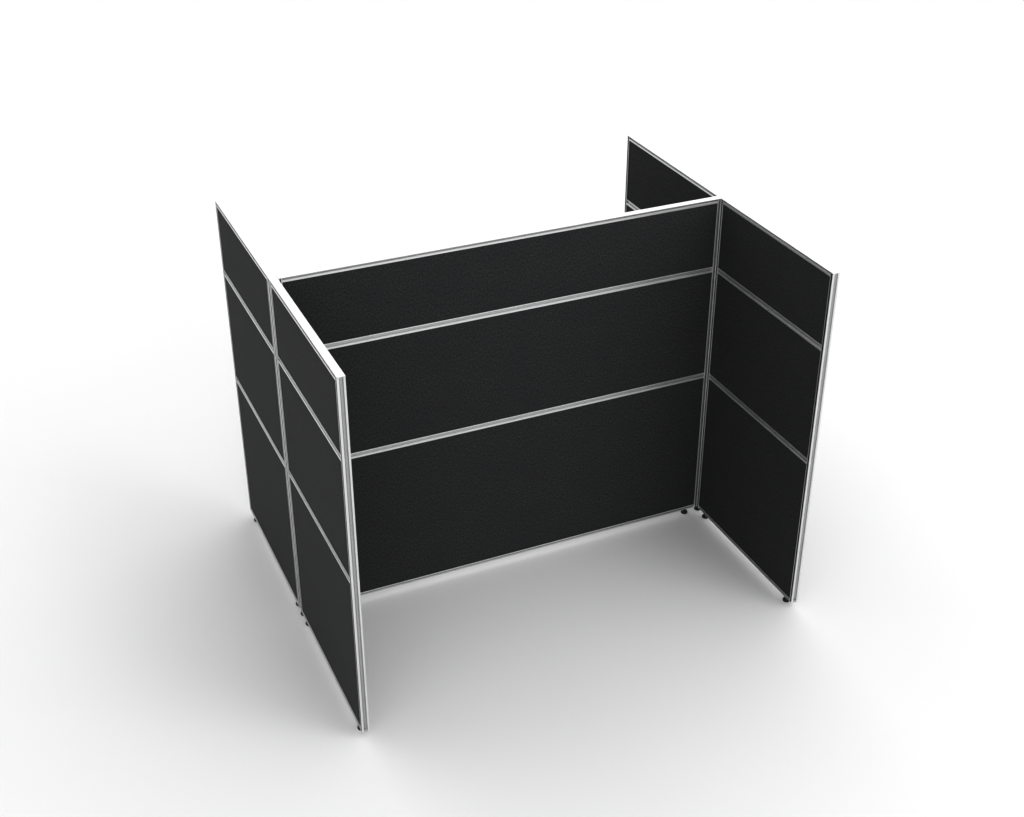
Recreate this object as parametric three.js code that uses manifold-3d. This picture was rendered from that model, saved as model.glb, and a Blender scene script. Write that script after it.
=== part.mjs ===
// Floor-standing privacy screen for two desks that stand back to back.
// A long centre panel joins two side walls, so the plan is an H. Each side wall is
// two panels fixed to a post. A panel is an aluminium frame of two stiles and four
// rails that holds three fabric-covered boards, and it stands on two levelling feet.
// Each post stands on a foot of its own.
//
// Units are millimetres and +Z is up. X runs along the centre panel, Y across it,
// and the origin is on the floor under the middle of the centre panel.

import * as THREE from 'three';
import { mergeVertices } from 'three/addons/utils/BufferGeometryUtils.js';
import Module from 'manifold-3d';

// Overall sizes
const HEIGHT = 1500;          // floor to the top of the cap
const THICKNESS = 30;         // panel frame, and each side of a post
const CENTRE_LENGTH = 1800;   // clear width between the two side walls
const SIDE_LENGTH = 755.5;    // post face to the free end of a side panel
const FLOOR_GAP = 27;         // floor to the underside of the frame

// Visible heights of the boards, from the floor up
const BOTTOM_BOARD = 649;
const MIDDLE_BOARD = 466;

// A board is lifted into the deep channel above it and dropped into the shallow one
// below, so the lip over its top edge is wide and the lips on its other edges are narrow.
const TOP_LIP = { width: 8, channel: 6.3 };
const LOW_LIP = { width: 4, channel: 2.5 };
const LIP_WALL = 1.8;         // the lip's wall over the board's edge

// Edge section, used for the stiles, the top rail and the bottom rail.
// Across its width it shows a lip next to the board, a groove and a flange.
const FLANGE = 2.5;
const GROOVE_WIDTH = 8;
const GROOVE_DEPTH = 5;
const TOP_WIDTH = FLANGE + GROOVE_WIDTH + TOP_LIP.width;
const EDGE_WIDTH = FLANGE + GROOVE_WIDTH + LOW_LIP.width;
const CAP_OVERHANG = 1;       // the cap past the free end

// Rail between two boards: a wide lip, a slot and a narrow lip, from the bottom up
const RAIL_SLOT_WIDTH = 13;
const RAIL_HEIGHT = TOP_LIP.width + RAIL_SLOT_WIDTH + LOW_LIP.width;

// Connector slots of posts and stiles
const SLOT_WIDTH = 14;
const POST_SLOT_DEPTH = 6;
const STILE_SLOT_DEPTH = 5;

// Free end of a side panel: a round flute between two lips with round outer corners
const FLUTE_DEPTH = 6;
const FLUTE_STEPS = 8;        // straight steps in half of the flute
const END_ROUND = 2.4;

// Clearances
const GAP = 0.3;              // between neighbouring pieces
const TOP_INSERT = TOP_LIP.channel - GAP;
const LOW_INSERT = LOW_LIP.channel - GAP;

// Levelling foot
const FOOT_INSET = 54;        // foot's axis from the panel's end
const PAD_RADIUS = 15;
const PAD_EDGE_HEIGHT = 8;
const PAD_SHOULDER_HEIGHT = 13;
const COLLAR_RADIUS = 10;
const COLLAR_TOP = FLOOR_GAP - GAP;
const STUD_RADIUS = 4;
const STUD_TOP = 51;          // stays in the frame when the foot is wound out 12 mm
const STUD_HOLE_RADIUS = 4.6;
const POST_HOLE_TOP = 60;
const BOARD_HOLE_RADIUS = 6;
const BOARD_HOLE_DEPTH = 18;
const ROUND_SEGMENTS = 20;

// Heights worked out from the sizes above
const HALF = THICKNESS / 2;
const BOTTOM_BOARD_Z = FLOOR_GAP + EDGE_WIDTH;
const LOWER_RAIL_Z = BOTTOM_BOARD_Z + BOTTOM_BOARD;
const MIDDLE_BOARD_Z = LOWER_RAIL_Z + RAIL_HEIGHT;
const UPPER_RAIL_Z = MIDDLE_BOARD_Z + MIDDLE_BOARD;
const TOP_BOARD_Z = UPPER_RAIL_Z + RAIL_HEIGHT;
const TOP_RAIL_Z = HEIGHT - TOP_WIDTH;
const POST_X = CENTRE_LENGTH / 2 + HALF;
const UPRIGHT_LENGTH = HEIGHT - FLANGE - GAP - FLOOR_GAP;

const wasm = await Module();
wasm.setup();

const aluminium = new THREE.MeshStandardMaterial({ color: 0xb9bcc0, roughness: 0.38, metalness: 0.9 });
const fabric = new THREE.MeshStandardMaterial({ color: 0x2a2b2e, roughness: 0.95, metalness: 0 });
const blackSteel = new THREE.MeshStandardMaterial({ color: 0x131314, roughness: 0.55, metalness: 0 });

// ---- Geometry helpers -------------------------------------------------------

// A closed manifold solid from a three.js geometry.
function toSolid(geometry) {
  const bare = geometry.clone();
  bare.deleteAttribute('normal');
  bare.deleteAttribute('uv');
  const merged = mergeVertices(bare);
  return new wasm.Manifold(new wasm.Mesh({
    numProp: 3,
    vertProperties: new Float32Array(merged.attributes.position.array),
    triVerts: new Uint32Array(merged.index.array),
  }));
}

// A three.js geometry from a manifold solid.
function toGeometry(solid) {
  const { numProp, vertProperties, triVerts } = solid.getMesh();
  const positions = new Float32Array((vertProperties.length / numProp) * 3);
  for (let i = 0; i < positions.length / 3; i += 1) {
    positions.set(vertProperties.subarray(i * numProp, i * numProp + 3), i * 3);
  }
  const geometry = new THREE.BufferGeometry();
  geometry.setAttribute('position', new THREE.BufferAttribute(positions, 3));
  geometry.setIndex(new THREE.BufferAttribute(new Uint32Array(triVerts), 1));
  geometry.computeVertexNormals();
  return geometry;
}

function cutAll(geometry, cutters) {
  return toGeometry(cutters.reduce((solid, cutter) => solid.subtract(toSolid(cutter)), toSolid(geometry)));
}

// A section standing upright: its points are x and y, and it runs up from z = 0.
function upright(points, length) {
  const shape = new THREE.Shape(points.map(([x, y]) => new THREE.Vector2(x, y)));
  return new THREE.ExtrudeGeometry(shape, { depth: length, bevelEnabled: false });
}

// A section lying along X: its points are y and z, and it runs from x = 0.
function lying(points, length) {
  const turn = new THREE.Matrix4().makeBasis(
    new THREE.Vector3(0, 1, 0),
    new THREE.Vector3(0, 0, 1),
    new THREE.Vector3(1, 0, 0),
  );
  return upright(points, length).applyMatrix4(turn);
}

// A box given by its lowest corner and its size.
function box(x, y, z, width, depth, height) {
  return new THREE.BoxGeometry(width, depth, height)
    .translate(x + width / 2, y + depth / 2, z + height / 2);
}

// An upright round bar, used to cut holes.
function bar(x, y, z, radius, height) {
  return new THREE.CylinderGeometry(radius, radius, height, ROUND_SEGMENTS)
    .rotateX(Math.PI / 2)
    .translate(x, y, z + height / 2);
}

// Points of a round corner about a centre, from one angle to another in degrees.
function arc(centreX, centreY, radius, from, to, steps) {
  return Array.from({ length: steps + 1 }, (_, i) => {
    const angle = THREE.MathUtils.degToRad(from + ((to - from) * i) / steps);
    return [centreX + radius * Math.cos(angle), centreY + radius * Math.sin(angle)];
  });
}

// ---- Sections ---------------------------------------------------------------
// A half section is a list of [u, v] points on the side where v is positive, and
// mirrored() closes it. u counts across the visible width.

function mirrored(half) {
  const other = half.map(([u, v]) => [u, -v]).reverse();
  return [...half, ...other];
}

// Groove, lip and board channel of the edge section; u = 0 is the outer face.
function edgeSide(lip) {
  const lipStart = FLANGE + GROOVE_WIDTH;
  const lipEnd = lipStart + lip.width;
  const innerWall = HALF - LIP_WALL;
  return [
    [FLANGE, HALF],
    [FLANGE, HALF - GROOVE_DEPTH],
    [lipStart, HALF - GROOVE_DEPTH],
    [lipStart, HALF],
    [lipEnd, HALF],
    [lipEnd, innerWall],
    [lipEnd - lip.channel, innerWall],
  ];
}

// Stile against a post: a connector slot in its flat outer face.
function postStileSection() {
  const slot = SLOT_WIDTH / 2;
  return mirrored([[STILE_SLOT_DEPTH, slot], [0, slot], [0, HALF], ...edgeSide(LOW_LIP)]);
}

// Stile at a free end: a round flute between two lips with round outer corners.
function endStileSection() {
  const reach = SLOT_WIDTH / 2;
  const radius = (reach ** 2 + FLUTE_DEPTH ** 2) / (2 * FLUTE_DEPTH);
  const sweep = THREE.MathUtils.radToDeg(Math.asin(reach / radius));
  const flute = arc(FLUTE_DEPTH - radius, 0, radius, 0, sweep, FLUTE_STEPS).slice(1);
  const corner = arc(END_ROUND, HALF - END_ROUND, END_ROUND, 180, 90, 4);
  const half = [...flute, ...corner, ...edgeSide(LOW_LIP)];
  return [...mirrored(half), [FLUTE_DEPTH, 0]];
}

// Top and bottom rails use the edge section with u turned to the vertical.
function bottomRailSection() {
  return mirrored([[0, HALF], ...edgeSide(LOW_LIP)]).map(([u, v]) => [-v, u]);
}

function topRailSection() {
  return mirrored([[0, HALF], ...edgeSide(TOP_LIP)]).map(([u, v]) => [v, TOP_WIDTH - u]);
}

// Rail between two boards, from the bottom up: the wide lip over the board below, the
// slot, and the narrow lip under the board above.
function middleRailSection() {
  const innerWall = HALF - LIP_WALL;
  const slotFloor = HALF - GROOVE_DEPTH;
  const slotTop = TOP_LIP.width + RAIL_SLOT_WIDTH;
  const half = [
    [TOP_LIP.channel, innerWall],
    [0, innerWall],
    [0, HALF],
    [TOP_LIP.width, HALF],
    [TOP_LIP.width, slotFloor],
    [slotTop, slotFloor],
    [slotTop, HALF],
    [RAIL_HEIGHT, HALF],
    [RAIL_HEIGHT, innerWall],
    [RAIL_HEIGHT - LOW_LIP.channel, innerWall],
  ];
  return mirrored(half).map(([u, v]) => [-v, u]);
}

// Post: a square with a slot in each of its four faces.
function postSection() {
  const slot = SLOT_WIDTH / 2;
  const quarter = [
    [HALF - POST_SLOT_DEPTH, slot],
    [HALF, slot],
    [HALF, HALF],
    [slot, HALF],
    [slot, HALF - POST_SLOT_DEPTH],
  ];
  const turns = [([x, y]) => [x, y], ([x, y]) => [-y, x], ([x, y]) => [-x, -y], ([x, y]) => [y, -x]];
  return turns.flatMap((turn) => quarter.map(turn));
}

// ---- Pieces -----------------------------------------------------------------

function piece(name, geometry, material, x, y, z) {
  const mesh = new THREE.Mesh(geometry, material.clone());
  mesh.name = name;
  mesh.position.set(x, y, z);
  return mesh;
}

// A black steel foot on the floor at z = 0: a round pad, a collar and a stud. It is
// wound fully in, so the collar is just under the frame.
function foot(name, x, y) {
  const profile = [
    [0, 0],
    [PAD_RADIUS - 1, 0],
    [PAD_RADIUS, 1.5],
    [PAD_RADIUS, PAD_EDGE_HEIGHT],
    [COLLAR_RADIUS, PAD_SHOULDER_HEIGHT],
    [COLLAR_RADIUS, COLLAR_TOP],
    [STUD_RADIUS, COLLAR_TOP],
    [STUD_RADIUS, STUD_TOP],
    [0, STUD_TOP],
  ];
  const points = profile.map(([radius, height]) => new THREE.Vector2(radius, height));
  const geometry = new THREE.LatheGeometry(points, ROUND_SEGMENTS).rotateX(Math.PI / 2);
  return piece(name, geometry, blackSteel, x, y, 0);
}

function post(name, x) {
  const hole = bar(0, 0, -1, STUD_HOLE_RADIUS, POST_HOLE_TOP - FLOOR_GAP + 1);
  const geometry = cutAll(upright(postSection(), UPRIGHT_LENGTH), [hole]);
  return piece(name, geometry, aluminium, x, 0, FLOOR_GAP);
}

// The top rail carries the flat cap, which also covers the stiles. capStart and
// capEnd are where the cap ends along the panel.
function topRail(name, railStart, railLength, capStart, capEnd) {
  const rail = toSolid(lying(topRailSection(), railLength));
  const cap = toSolid(
    box(capStart - railStart, -HALF, TOP_WIDTH - FLANGE, capEnd - capStart, THICKNESS, FLANGE),
  );
  return piece(name, toGeometry(rail.add(cap)), aluminium, railStart, 0, TOP_RAIL_Z);
}

function board(name, start, length, z, height) {
  const depth = THICKNESS - 2 * (LIP_WALL + GAP);
  const geometry = box(0, -depth / 2, 0, length, depth, LOW_INSERT + height + TOP_INSERT);
  return piece(name, geometry, fabric, start, 0, z - LOW_INSERT);
}

// One framed panel in its own frame: x runs from 0 to length, y is its thickness.
// ends names its two ends, and a free end is the one called 'end'.
function panel(prefix, length, ends) {
  const group = new THREE.Group();
  const [startName, endName] = ends;
  const freeEnd = endName === 'end';
  const named = (part) => `${prefix}_${part}`;

  const railStart = EDGE_WIDTH + GAP;
  const railLength = length - 2 * railStart;
  const boardStart = EDGE_WIDTH - LOW_INSERT;
  const boardLength = length - 2 * boardStart;
  const footPlaces = [FOOT_INSET, length - FOOT_INSET];

  const startStile = upright(postStileSection(), UPRIGHT_LENGTH);
  group.add(piece(named(`${startName}_stile`), startStile, aluminium, GAP, 0, FLOOR_GAP));
  const endStile = upright(freeEnd ? endStileSection() : postStileSection(), UPRIGHT_LENGTH);
  const endX = freeEnd ? length : length - GAP;
  const endMesh = piece(named(`${endName}_stile`), endStile, aluminium, endX, 0, FLOOR_GAP);
  endMesh.rotation.z = Math.PI;
  group.add(endMesh);

  // The caps of the two panels in a side wall meet over the middle of the post.
  const capStart = freeEnd ? -HALF + GAP / 2 : GAP;
  const capEnd = freeEnd ? length + CAP_OVERHANG : length - GAP;
  group.add(topRail(named('top_rail'), railStart, railLength, capStart, capEnd));

  for (const [part, z] of [['upper_rail', UPPER_RAIL_Z], ['lower_rail', LOWER_RAIL_Z]]) {
    group.add(piece(named(part), lying(middleRailSection(), railLength), aluminium, railStart, 0, z));
  }

  const holes = footPlaces.map((x) => bar(x - railStart, 0, -1, STUD_HOLE_RADIUS, EDGE_WIDTH + 2));
  const bottomRail = cutAll(lying(bottomRailSection(), railLength), holes);
  group.add(piece(named('bottom_rail'), bottomRail, aluminium, railStart, 0, FLOOR_GAP));

  const topBoardHeight = TOP_RAIL_Z - TOP_BOARD_Z;
  group.add(board(named('top_board'), boardStart, boardLength, TOP_BOARD_Z, topBoardHeight));
  group.add(board(named('middle_board'), boardStart, boardLength, MIDDLE_BOARD_Z, MIDDLE_BOARD));
  const bottomBoard = board(named('bottom_board'), boardStart, boardLength, BOTTOM_BOARD_Z, BOTTOM_BOARD);
  const pockets = footPlaces.map((x) => bar(x - boardStart, 0, -1, BOARD_HOLE_RADIUS, BOARD_HOLE_DEPTH + 1));
  bottomBoard.geometry = cutAll(bottomBoard.geometry, pockets);
  group.add(bottomBoard);

  group.add(foot(named(`${startName}_foot`), footPlaces[0], 0));
  group.add(foot(named(`${endName}_foot`), footPlaces[1], 0));
  return group;
}

// ---- The whole screen -------------------------------------------------------

const screen = new THREE.Group();

const centre = panel('centre', CENTRE_LENGTH, ['left', 'right']);
centre.position.set(-CENTRE_LENGTH / 2, 0, 0);
screen.add(centre);

for (const [side, sign] of [['left', -1], ['right', 1]]) {
  screen.add(post(`${side}_post`, sign * POST_X));
  screen.add(foot(`${side}_post_foot`, sign * POST_X, 0));

  for (const [depth, direction] of [['front', -1], ['back', 1]]) {
    const wall = panel(`${side}_${depth}`, SIDE_LENGTH, ['post', 'end']);
    wall.position.set(sign * POST_X, direction * HALF, 0);
    wall.rotation.z = direction * (Math.PI / 2);
    screen.add(wall);
  }
}

export default screen;
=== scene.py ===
"""Looks for a floor-standing privacy screen: an H-plan set of five framed fabric panels."""

import math

import bmesh
import bpy
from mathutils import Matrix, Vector, noise


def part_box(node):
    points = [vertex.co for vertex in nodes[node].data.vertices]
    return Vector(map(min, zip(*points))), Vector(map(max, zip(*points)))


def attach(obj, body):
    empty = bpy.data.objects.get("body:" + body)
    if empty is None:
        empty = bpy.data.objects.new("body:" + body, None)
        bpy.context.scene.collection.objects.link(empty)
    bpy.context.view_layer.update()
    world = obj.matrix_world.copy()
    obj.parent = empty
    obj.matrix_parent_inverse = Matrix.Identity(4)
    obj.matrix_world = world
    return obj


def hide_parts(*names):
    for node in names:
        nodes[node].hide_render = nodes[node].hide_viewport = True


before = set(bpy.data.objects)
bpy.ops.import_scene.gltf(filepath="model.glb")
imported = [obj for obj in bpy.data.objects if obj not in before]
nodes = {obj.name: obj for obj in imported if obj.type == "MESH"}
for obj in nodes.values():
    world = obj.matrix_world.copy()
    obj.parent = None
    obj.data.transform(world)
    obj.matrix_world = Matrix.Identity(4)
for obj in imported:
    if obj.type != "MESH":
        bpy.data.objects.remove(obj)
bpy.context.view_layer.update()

SCREEN = "screen"
MM = 0.001

# Panels, with the names of their two ends. A side panel runs from its post to a free end.
PANELS = {
    "centre": ("left", "right"),
    "left_front": ("post", "end"),
    "left_back": ("post", "end"),
    "right_front": ("post", "end"),
    "right_back": ("post", "end"),
}
BOARDS = ("top_board", "middle_board", "bottom_board")
RAILS = ("top_rail", "upper_rail", "lower_rail", "bottom_rail")

# Extruded bars
BAR_EDGE = 0.85 * MM          # rounding of the extrusion's corners
EDGE_SEGMENTS = 3             # facets in any small rounded edge
SHARP_BAR = 40                # degrees; a flatter corner than this isn't rounded
WELD_GAP = 0.01 * MM
PAINTED_SHADE_REACH = 14 * MM        # how far the painted shade reaches from a slot's walls
PAINTED_SHADE_TONE = 0.12            # colour of the painted shade deep in a slot

# Fabric boards
TOP_INSERT = 6.0 * MM         # how far a board's top edge sits inside the frame's channel
LOW_INSERT = 2.2 * MM         # the same for its other edges
CROWN = 0.9 * MM              # how far the padded face rises between the lips
CROWN_REACH = 42 * MM         # distance over which it rises
UNEVEN = 0.16 * MM            # slow unevenness of the face
PULL = 0.12 * MM              # ripples where the cloth is pulled round the edge
PULL_LENGTH = 85 * MM
PULL_FADE = 30 * MM           # distance from the edge over which they die away
CALM_REACH = 12 * MM          # the face is even this close to the lips
WRAP_REACH = 3 * MM           # how far in from the edge the wrap reaches full thickness
GRID_STEP = 20 * MM
NEAR_EDGE = (0, 0.5, 1.4, 2.4, 4, 6.4, 8.5, 12, 17, 24, 34, 48)  # mm in from an edge
WEAVE_PITCH = 1.7 * MM

# Levelling foot: heights are in mm above the sole
ROUND = 48                    # points in every ring of the foot
PAD_PROFILE = (               # share of the pad's radius, height
    (0.84, 0.0), (0.93, 0.0), (0.975, 0.35), (0.998, 1.1), (1.0, 2.0), (0.998, 6.2), (0.98, 7.2),
    (0.94, 7.9), (0.88, 8.35), (0.80, 9.1), (0.74, 10.4), (0.70, 11.8), (0.68, 12.6),
)
HEX_ACROSS = 17 * MM
HEX_PROFILE = (               # height, share of the flats, share of the corners
    (12.9, 0.97, 0.90), (13.5, 1.0, 0.985), (25.9, 1.0, 0.985), (26.6, 0.97, 0.90),
)
HEX_TOP = 26.65 * MM
STUD_FOOT = 3.6 * MM          # radius of the stud where it leaves the collar
STUD_RADIUS = 4.0 * MM
STUD_TAPER = 1.5 * MM         # length over which the stud's tip narrows
TIP_SHARE = 0.86              # share of the radius left at the tip
THREAD_PITCH = 1.25 * MM
THREAD_DEPTH = 0.55 * MM
RINGS_PER_TURN = 5
SHARP_FOOT = 35               # degrees; sharper edges stay crisp

# Plug at the foot of a free end's round flute
FLUTE_HALF = 7.0 * MM
FLUTE_DEPTH = 6.0 * MM
PLUG_HEIGHT = 9 * MM
PLUG_GAP = 0.15 * MM          # clearance to the flute's wall
PLUG_SET = 0.3 * MM           # how far the plug sits in from the lips and up from the end
PLUG_LIP = 0.2 * MM           # least depth of the plug at its sides
PLUG_SWEEP = 0.97             # share of the flute's arc that it fills
PLUG_STEPS = 12               # facets in each half of the arc
PLUG_EDGE = 0.5 * MM

# Studio
FLOOR_REACH = 40.0
ROOM_EVEN = 0.04
ROOM_SIDES = (                # direction the light comes from, strength
    ((0, 0, 1), 0.5),
    ((0, -1, 0), 1.7),
    ((1, 0, 0), 0.66),
    ((0, 1, 0), 1.55),
    ((-1, 0, 0), 0.08),
)
KEY_PLACE, KEY_TARGET = (2.58, -3.69, 7.79), (0, 0, 0.8)
KEY_SIZE = 2.4
KEY_WATTS = 81
VIEW_GAMMA = 0.7

# Camera
LENS, SENSOR = 50, 36         # mm
CAMERA_PLACE = (-1.982, -4.4706, 3.6552)
CAMERA_TILT = 59.247          # degrees
CAMERA_TURN = -23.948
CLIP_NEAR, CLIP_FAR = 0.1, 200


# ---- Node graphs --------------------------------------------------------------


class Graph:
    """Short calls for building a node tree. Values and sockets can be mixed."""

    def __init__(self, tree):
        self.tree = tree

    def feed(self, socket, source):
        if isinstance(source, bpy.types.NodeSocket):
            self.tree.links.new(source, socket)
        else:
            socket.default_value = source

    def node(self, kind, inputs=None, **settings):
        made = self.tree.nodes.new(kind)
        for key, value in settings.items():
            setattr(made, key, value)
        for key, value in (inputs or {}).items():
            self.feed(made.inputs[key], value)
        return made

    def math(self, operation, a, b=0.0, c=0.0):
        made = self.node("ShaderNodeMath", operation=operation)
        for socket, value in zip(made.inputs, (a, b, c)):
            self.feed(socket, value)
        return made.outputs[0]

    def spread(self, value, low, high, to_low=0.0, to_high=1.0):
        """Maps a value from one range to another, clamped."""
        made = self.node("ShaderNodeMapRange")
        for socket, v in zip(made.inputs, (value, low, high, to_low, to_high)):
            self.feed(socket, v)
        return made.outputs[0]

    def scaled(self, vector, scale):
        made = self.node("ShaderNodeVectorMath", operation="MULTIPLY")
        self.feed(made.inputs[0], vector)
        self.feed(made.inputs[1], scale)
        return made.outputs[0]

    def noise(self, vector, scale, detail=2.0, roughness=0.5):
        inputs = {"Vector": vector, "Scale": scale, "Detail": detail, "Roughness": roughness}
        return self.node("ShaderNodeTexNoise", inputs).outputs["Fac"]

    def mix(self, factor, a, b):
        made = self.node("ShaderNodeMix", data_type="RGBA")
        for index, value in ((0, factor), (6, a), (7, b)):
            self.feed(made.inputs[index], value)
        return made.outputs[2]

    def bump(self, height, distance, strength):
        inputs = {"Height": height, "Distance": distance, "Strength": strength}
        return self.node("ShaderNodeBump", inputs).outputs[0]


class Finish(Graph):
    """The node tree of a new material."""

    def __init__(self, name):
        self.material = bpy.data.materials.new(name)
        self.material.use_nodes = True
        super().__init__(self.material.node_tree)

    def place(self):
        return self.node("ShaderNodeTexCoord").outputs["Object"]

    def finish(self, **inputs):
        shader = self.tree.nodes["Principled BSDF"]
        for key, value in inputs.items():
            self.feed(shader.inputs[key.replace("_", " ")], value)
        return self.material


def grey(value, blue=0.0):
    """A grey, with its blue raised by a share and its green by less."""
    return (value, value * (1 + blue * 0.4), value * (1 + blue), 1.0)


def anodised(name, along):
    """Satin anodised extrusion: faint die lines along the bar, cloudiness, and painted shade in
    slots and recesses.
    """
    g = Finish(name)
    place = g.place()
    across = [1400.0] * 3
    across[along] = 2.5
    lines = g.noise(g.scaled(place, across), 1.0, detail=3.0, roughness=0.7)
    coarse = [180.0] * 3
    coarse[along] = 0.8
    bands = g.noise(g.scaled(place, coarse), 1.0, detail=2.0)
    cloud = g.noise(place, 9.0, detail=4.0, roughness=0.6)
    marks = g.noise(place, 160.0, detail=5.0, roughness=0.75)
    tone = g.math("ADD", g.math("MULTIPLY", bands, 0.6), g.math("MULTIPLY", cloud, 0.4))
    colour = g.mix(g.spread(tone, 0.3, 0.7), grey(0.66, 0.01), grey(0.73, 0.005))
    colour = g.mix(g.spread(lines, 0.35, 0.75, 0.0, 0.10), colour, grey(0.5))
    # Painted shade: the colour darkens in slots and recesses, found by an ambient-occlusion
    # test; faces that look upward keep their colour, as if lit from above.
    shade_probe = g.node("ShaderNodeAmbientOcclusion", samples=6, only_local=True)
    shade_probe.inputs["Distance"].default_value = PAINTED_SHADE_REACH
    normal = g.node("ShaderNodeNewGeometry").outputs["Normal"]
    upward = g.node("ShaderNodeSeparateXYZ", {"Vector": normal}).outputs[2]
    unshaded_share = g.math("MAXIMUM", g.spread(shade_probe.outputs["AO"], 0.5, 1.0), upward)
    colour = g.mix(unshaded_share, grey(PAINTED_SHADE_TONE, 0.02), colour)
    rough = g.spread(lines, 0.3, 0.7, 0.34, 0.42)
    rough = g.math("ADD", rough, g.spread(marks, 0.66, 0.8, 0.0, 0.10))
    rough = g.math("ADD", rough, g.spread(cloud, 0.3, 0.7, -0.03, 0.03))
    return g.finish(
        Base_Color=colour,
        Metallic=0.65,
        Roughness=rough,
        Normal=g.bump(lines, 0.03 * MM, 0.5),
    )


def woven(name):
    """Charcoal screen cloth: a plain weave of heathered threads with a soft sheen, and painted
    shade between the threads.
    """
    g = Finish(name)
    uv = g.node("ShaderNodeUVMap", uv_map="cloth").outputs[0]
    split = g.node("ShaderNodeSeparateXYZ", {"Vector": uv})
    u = g.math("DIVIDE", split.outputs[0], WEAVE_PITCH)
    v = g.math("DIVIDE", split.outputs[1], WEAVE_PITCH)
    arch_u = g.math("ABSOLUTE", g.math("SINE", g.math("MULTIPLY", u, math.pi)))
    arch_v = g.math("ABSOLUTE", g.math("SINE", g.math("MULTIPLY", v, math.pi)))
    cell = g.math("ADD", g.math("FLOOR", u), g.math("FLOOR", v))
    over = g.math("FLOORED_MODULO", cell, 2.0)

    def thread(cross, run):
        body = g.math("POWER", cross, 0.6)
        return g.math("MULTIPLY", body, g.math("MULTIPLY_ADD", run, 0.5, 0.5))

    warp, weft = thread(arch_u, arch_v), thread(arch_v, arch_u)
    relief = g.math("MULTIPLY_ADD", over, g.math("SUBTRACT", weft, warp), warp)
    slub_warp = g.noise(g.scaled(uv, (520.0, 70.0, 1.0)), 1.0, detail=2.0)
    slub_weft = g.noise(g.scaled(uv, (70.0, 520.0, 1.0)), 1.0, detail=2.0)
    slub = g.math("MULTIPLY_ADD", over, g.math("SUBTRACT", slub_weft, slub_warp), slub_warp)
    heather = g.noise(g.scaled(uv, (230.0, 120.0, 1.0)), 1.0, detail=3.0, roughness=0.65)
    cloud = g.noise(uv, 7.0, detail=3.0)
    fuzz = g.noise(uv, 3200.0, detail=2.0)

    tone = g.math("MULTIPLY_ADD", slub, 0.3, g.math("MULTIPLY", heather, 0.7))
    colour = g.mix(g.spread(tone, 0.36, 0.64), grey(0.024, 0.07), grey(0.073, 0.04))
    colour = g.mix(g.spread(cloud, 0.35, 0.65, 0.0, 0.22), colour, grey(0.038, 0.12))
    # Painted shade: the colour darkens towards near-black in the low gaps between threads.
    colour = g.mix(g.spread(relief, 0.15, 0.6, 0.65, 0.0), colour, grey(0.018, 0.1))
    height = g.math("ADD", relief, g.math("MULTIPLY", fuzz, 0.25))
    return g.finish(
        Base_Color=colour,
        Roughness=g.spread(fuzz, 0.3, 0.7, 0.86, 0.98),
        Specular_IOR_Level=0.08,
        Sheen_Weight=0.09,
        Sheen_Roughness=0.5,
        Sheen_Tint=grey(0.8),
        Normal=g.bump(height, 0.35 * MM, 0.7),
    )


def coated_steel(name):
    """Black powder coat: fine orange peel, with the coat rubbed thin here and there."""
    g = Finish(name)
    place = g.place()
    peel = g.noise(place, 1500.0, detail=2.0)
    worn = g.noise(place, 330.0, detail=4.0, roughness=0.7)
    colour = g.mix(g.spread(worn, 0.58, 0.75, 0.0, 0.5), grey(0.011), grey(0.04))
    return g.finish(
        Base_Color=colour,
        Roughness=g.spread(worn, 0.3, 0.7, 0.36, 0.55),
        Coat_Weight=0.15,
        Coat_Roughness=0.4,
        Normal=g.bump(peel, 0.05 * MM, 0.5),
    )


def moulded(name, shade):
    """Fine-textured moulded plastic for the end plugs."""
    g = Finish(name)
    place = g.place()
    grain = g.noise(place, 2200.0, detail=2.0)
    tint = g.noise(place, 60.0, detail=3.0)
    colour = g.mix(g.spread(tint, 0.3, 0.7), grey(shade * 0.92), grey(shade))
    return g.finish(
        Base_Color=colour,
        Roughness=g.spread(grain, 0.3, 0.7, 0.42, 0.56),
        Normal=g.bump(grain, 0.03 * MM, 0.4),
    )


def studio_floor(name):
    """Pale matt floor, very slightly uneven in tone."""
    g = Finish(name)
    place = g.place()
    tint = g.noise(place, 0.7, detail=2.0)
    colour = g.mix(g.spread(tint, 0.3, 0.7), grey(0.80), grey(0.815))
    return g.finish(Base_Color=colour, Roughness=0.65, Specular_IOR_Level=0.2)


BARS = {axis: anodised(f"anodised_{'xyz'[axis]}", axis) for axis in range(3)}
CLOTH = woven("woven_charcoal")
COAT = coated_steel("black_powder_coat")
PLUG = moulded("grey_moulding", 0.42)


# ---- Mesh helpers -------------------------------------------------------------


def make_piece(name, verts, faces, material, body, smooth=True, uvs=None):
    """A new mesh object from points in the part's frame, riding on a CAD body."""
    mesh = bpy.data.meshes.new(name)
    mesh.from_pydata(verts, [], faces)
    if uvs is not None:
        layer = mesh.uv_layers.new(name="cloth")
        for loop in mesh.loops:
            layer.data[loop.index].uv = uvs[loop.vertex_index]
    mesh.polygons.foreach_set("use_smooth", [smooth] * len(mesh.polygons))
    mesh.materials.append(material)
    piece = bpy.data.objects.new(name, mesh)
    bpy.context.scene.collection.objects.link(piece)
    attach(piece, body)
    return piece


def loft(rings):
    """Faces that join equal rings of points, with each end closed by one face."""
    count = len(rings[0])
    verts = [p for ring in rings for p in ring]
    faces = []
    for r in range(len(rings) - 1):
        for i in range(count):
            a, b = r * count + i, r * count + (i + 1) % count
            faces.append((a, b, b + count, a + count))
    faces.append(tuple(reversed(range(count))))
    faces.append(tuple(range(len(verts) - count, len(verts))))
    return verts, faces


def round_edges(piece, width):
    bevel = piece.modifiers.new("edge", "BEVEL")
    bevel.width = width
    bevel.segments = EDGE_SEGMENTS
    bevel.limit_method = "ANGLE"
    return bevel


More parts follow.
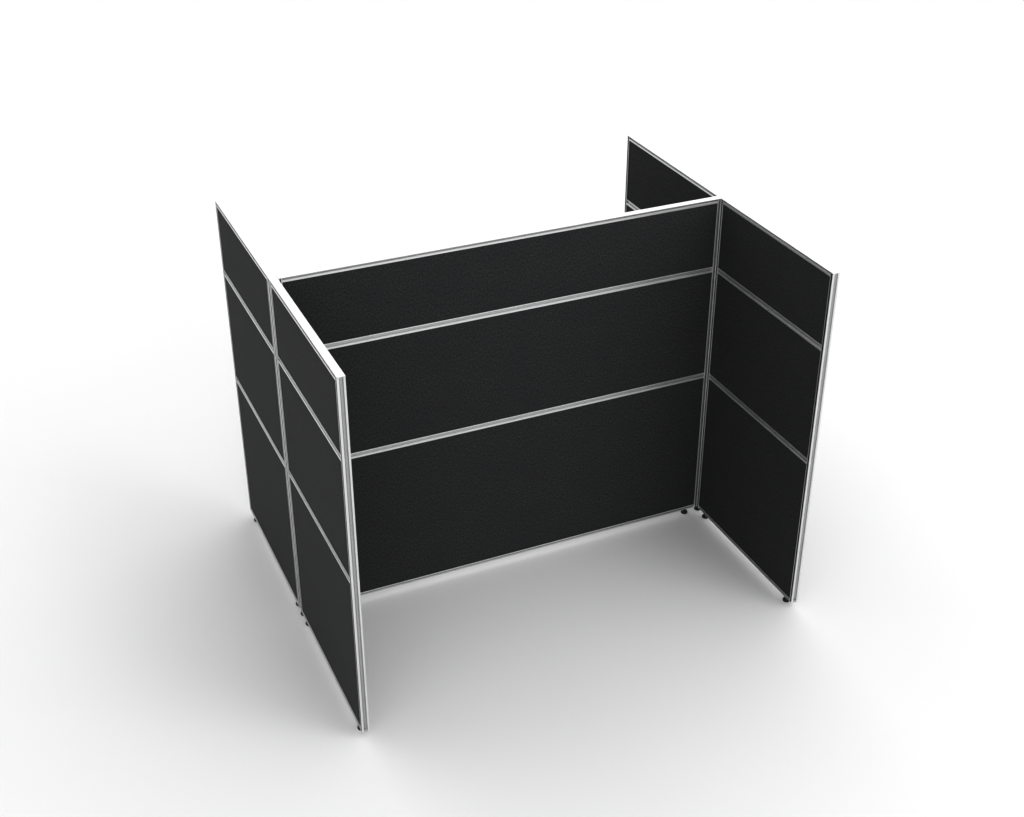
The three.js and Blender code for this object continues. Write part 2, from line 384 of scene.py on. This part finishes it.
def ease(t):
    """A smooth step from 0 to 1."""
    t = max(0.0, min(1.0, t))
    return t * t * (3 - 2 * t)


# ---- Extruded bars ------------------------------------------------------------


def dress_bar(name, along):
    """Gives a CAD extrusion its finish and fine rounded edges."""
    bar = nodes[name]
    bar.data.materials.clear()
    bar.data.materials.append(BARS[along])
    weld = bar.modifiers.new("weld", "WELD")
    weld.merge_threshold = WELD_GAP
    bevel = round_edges(bar, BAR_EDGE)
    bevel.angle_limit = math.radians(SHARP_BAR)
    bevel.harden_normals = True
    bevel.use_clamp_overlap = True


for panel, ends in PANELS.items():
    along = 0 if panel == "centre" else 1
    for rail in RAILS:
        dress_bar(f"{panel}_{rail}", along)
    for end in ends:
        dress_bar(f"{panel}_{end}_stile", 2)
for post in ("left_post", "right_post"):
    dress_bar(post, 2)


# ---- Fabric boards ------------------------------------------------------------


def stations(length):
    """Places along a board's side: close together at its edges, then in even steps."""
    near = [x * MM for x in NEAR_EDGE]
    rest = length - 2 * near[-1]
    steps = max(2, round(rest / GRID_STEP))
    middle = [near[-1] + rest * (i + 1) / steps for i in range(steps - 1)]
    return near + middle + [length - x for x in reversed(near)]


def nose(e):
    """Share of the full thickness at distance e from the board's wrapped edge."""
    t = min(1.0, e / WRAP_REACH)
    return math.sqrt(1 - (1 - t) ** 2)


def ripple(along, drift):
    """Pull ripples along an edge, drifting in phase."""
    return math.sin(2 * math.pi * along / PULL_LENGTH + drift)


def swell(a, b, length, height, seed):
    """How far the face stands above its flat place at a point of the board."""
    edge = min(a, length - a) - LOW_INSERT
    side = min(b - LOW_INSERT, height - b - TOP_INSERT)
    rise = CROWN * ease(edge / CROWN_REACH) * ease(side / CROWN_REACH)
    slow = noise.noise((a * 3.1 + seed, b * 3.1, seed * 1.7))
    slow += 0.5 * noise.noise((a * 9.0 + seed, b * 9.0, seed))
    inside = ease(min(edge, side) / CALM_REACH)
    near_edge = math.exp(-max(0.0, edge) / PULL_FADE)
    near_side = math.exp(-max(0.0, side) / PULL_FADE)
    waves = near_side * ripple(a, seed + 3 * noise.noise((a * 4, seed, 0)))
    waves += near_edge * ripple(b, seed + 3 * noise.noise((b * 4, 0, seed)))
    return rise + inside * (UNEVEN * slow + PULL * waves)


def cloth_board(node, seed):
    """A board wrapped in cloth: two padded faces that meet round its edges."""
    low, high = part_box(node)
    size = high - low
    run = 0 if size.x > size.y else 1
    cross = 1 - run
    length, height, half = size[run], size.z, size[cross] / 2
    middle = (low[cross] + high[cross]) / 2
    us, vs = stations(length), stations(height)
    nu, nv = len(us), len(vs)
    verts, uvs, index = [], [], {}
    for side in (-1, 1):
        for j, b in enumerate(vs):
            for i, a in enumerate(us):
                rim = i in (0, nu - 1) or j in (0, nv - 1)
                if rim and side == 1:
                    index[side, i, j] = index[-1, i, j]
                    continue
                e = min(a, length - a, b, height - b)
                y = half * nose(e) + swell(a, b, length, height, seed + side)
                point = [0.0, 0.0, low.z + b]
                point[run] = low[run] + a
                point[cross] = middle + side * (0.0 if rim else y)
                index[side, i, j] = len(verts)
                verts.append(point)
                uvs.append((a + seed * 0.37, b + seed * 0.21))
    faces = []
    for side in (-1, 1):
        flip = (side == 1) == (run == 0)
        for j in range(nv - 1):
            for i in range(nu - 1):
                corners = ((i, j), (i + 1, j), (i + 1, j + 1), (i, j + 1))
                quad = [index[side, *corner] for corner in corners]
                faces.append(quad[::-1] if flip else quad)
    name = node.replace("board", "cloth")
    piece = make_piece(name, verts, faces, CLOTH, SCREEN, uvs=uvs)
    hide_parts(node)


for number, panel in enumerate(PANELS):
    for row, board in enumerate(BOARDS):
        cloth_board(f"{panel}_{board}", 1.0 + number * 3 + row)


# ---- Levelling feet -----------------------------------------------------------


def ring_of(x, y, z, radius_at):
    """A level ring of points whose radius depends on the angle."""
    ring = []
    for i in range(ROUND):
        angle = 2 * math.pi * i / ROUND
        r = radius_at(angle)
        ring.append((x + r * math.cos(angle), y + r * math.sin(angle), z))
    return ring


def circle(x, y, z, radius):
    return ring_of(x, y, z, lambda angle: radius)


def hexagon(x, y, z, flat, corner):
    """A hexagon cut back to a radius, which gives a nut's chamfered corners."""

    def radius_at(angle):
        turned = (angle + math.pi / 6) % (math.pi / 3) - math.pi / 6
        return min(flat / math.cos(turned), corner)

    return ring_of(x, y, z, radius_at)


def thread(x, y, low, start, stop):
    """Rings of a threaded stud with a tapered tip."""
    steps = int((stop - start) / (THREAD_PITCH / RINGS_PER_TURN))
    rings = []
    for k in range(1, steps + 1):
        z = start + (stop - start) * k / steps
        share = TIP_SHARE + (1 - TIP_SHARE) * ease((stop - z) / STUD_TAPER)

        def radius_at(angle):
            phase = (z / THREAD_PITCH - angle / (2 * math.pi)) % 1.0
            return (STUD_RADIUS - THREAD_DEPTH * (1 - abs(2 * phase - 1))) * share

        rings.append(ring_of(x, y, low + z, radius_at))
    return rings


def levelling_foot(node, body):
    """Pad with a rounded rim, hexagonal collar and threaded stud, in place of the CAD foot."""
    low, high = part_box(node)
    x, y = (low.x + high.x) / 2, (low.y + high.y) / 2
    radius = (high.x - low.x) / 2
    rings = [circle(x, y, low.z + z * MM, r * radius) for r, z in PAD_PROFILE]
    flat, tip = HEX_ACROSS / 2, HEX_ACROSS / 2 / math.cos(math.pi / 6)
    for z, flats, corners in HEX_PROFILE:
        rings.append(hexagon(x, y, low.z + z * MM, flat * flats, tip * corners))
    rings.append(circle(x, y, low.z + HEX_TOP, flat * 0.8))
    rings.append(circle(x, y, low.z + HEX_TOP, STUD_FOOT))
    rings += thread(x, y, low.z, HEX_TOP, high.z - low.z)
    verts, faces = loft(rings)
    piece = make_piece(node.replace("foot", "levelling_foot"), verts, faces, COAT, body)
    split_sharp(piece, SHARP_FOOT)
    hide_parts(node)


def split_sharp(piece, degrees):
    """Marks sharp edges, so that smooth shading keeps the corners crisp."""
    work = bmesh.new()
    work.from_mesh(piece.data)
    for edge in work.edges:
        if len(edge.link_faces) == 2 and edge.calc_face_angle(0.0) > math.radians(degrees):
            edge.smooth = False
    work.to_mesh(piece.data)
    work.free()


FEET = [f"{panel}_{end}_foot" for panel, ends in PANELS.items() for end in ends]
FEET += ["left_post_foot", "right_post_foot"]
for foot in FEET:
    levelling_foot(foot, f"{foot}_body")


# ---- Free ends: plug at the foot of the flute ---------------------------------


def end_plug(panel):
    """A moulded plug with rounded edges that fills the lowest part of the round flute."""
    low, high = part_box(f"{panel}_end_stile")
    x = (low.x + high.x) / 2
    out = 1 if "back" in panel else -1
    end = high.y if out == 1 else low.y
    face = end - out * PLUG_SET
    radius = (FLUTE_HALF**2 + FLUTE_DEPTH**2) / (2 * FLUTE_DEPTH)
    sweep = math.asin(FLUTE_HALF / radius)
    inner = radius - PLUG_GAP
    axis = end + out * (radius - FLUTE_DEPTH)
    outline = []
    for i in range(2 * PLUG_STEPS + 1):
        angle = sweep * PLUG_SWEEP * (i / PLUG_STEPS - 1)
        outline.append((x + inner * math.sin(angle), axis - out * inner * math.cos(angle)))
    outline = [(px, py) for px, py in outline if out * (face - py) > PLUG_LIP]
    outline += [(outline[-1][0], face), (outline[0][0], face)]
    if out == -1:
        outline = outline[::-1]
    levels = (low.z + PLUG_SET, low.z + PLUG_HEIGHT)
    verts, faces = loft([[(px, py, z) for px, py in outline] for z in levels])
    plug = make_piece(f"{panel}_end_plug", verts, faces, PLUG, SCREEN, smooth=False)
    round_edges(plug, PLUG_EDGE)


for panel in PANELS:
    if panel != "centre":
        end_plug(panel)


# ---- Floor, light and camera --------------------------------------------------


def make_floor():
    mesh = bpy.data.meshes.new("studio_floor")
    signs = ((-1, -1), (1, -1), (1, 1), (-1, 1))
    corners = [(x * FLOOR_REACH, y * FLOOR_REACH, 0) for x, y in signs]
    mesh.from_pydata(corners, [], [(0, 1, 2, 3)])
    mesh.materials.append(studio_floor("studio_floor"))
    floor = bpy.data.objects.new("studio_floor", mesh)
    bpy.context.scene.collection.objects.link(floor)


def soft_light(name, place, target, size, watts):
    """A square lamp that faces its target."""
    light = bpy.data.lights.new(name, "AREA")
    light.shape = "RECTANGLE"
    light.size = light.size_y = size
    light.energy = watts
    lamp = bpy.data.objects.new(name, light)
    lamp.location = place
    lamp.rotation_euler = (Vector(target) - Vector(place)).to_track_quat("-Z", "Y").to_euler()
    bpy.context.scene.collection.objects.link(lamp)


def make_world(even, sides):
    """A pale room: an even light plus a soft share from each named side."""
    world = bpy.data.worlds.new("studio")
    world.use_nodes = True
    g = Graph(world.node_tree)
    way = g.node("ShaderNodeTexCoord").outputs["Generated"]
    strength = even
    for direction, share in sides:
        dot = g.node("ShaderNodeVectorMath", operation="DOT_PRODUCT")
        g.feed(dot.inputs[0], way)
        g.feed(dot.inputs[1], direction)
        facing = g.math("MAXIMUM", dot.outputs["Value"], 0.0)
        strength = g.math("MULTIPLY_ADD", facing, share, strength)
    back = world.node_tree.nodes["Background"]
    back.inputs["Color"].default_value = (1.0, 1.0, 1.0, 1.0)
    g.feed(back.inputs["Strength"], strength)
    bpy.context.scene.world = world


make_floor()
make_world(ROOM_EVEN, ROOM_SIDES)
soft_light("key", KEY_PLACE, KEY_TARGET, KEY_SIZE, KEY_WATTS)

camera = bpy.data.objects.new("camera", bpy.data.cameras.new("camera"))
camera.data.lens = LENS
camera.data.sensor_width = SENSOR
camera.location = CAMERA_PLACE
camera.rotation_euler = (math.radians(CAMERA_TILT), 0, math.radians(CAMERA_TURN))
camera.data.clip_start, camera.data.clip_end = CLIP_NEAR, CLIP_FAR
bpy.context.scene.collection.objects.link(camera)
bpy.context.scene.camera = camera
bpy.context.scene.view_settings.view_transform = "Standard"
bpy.context.scene.view_settings.gamma = VIEW_GAMMA
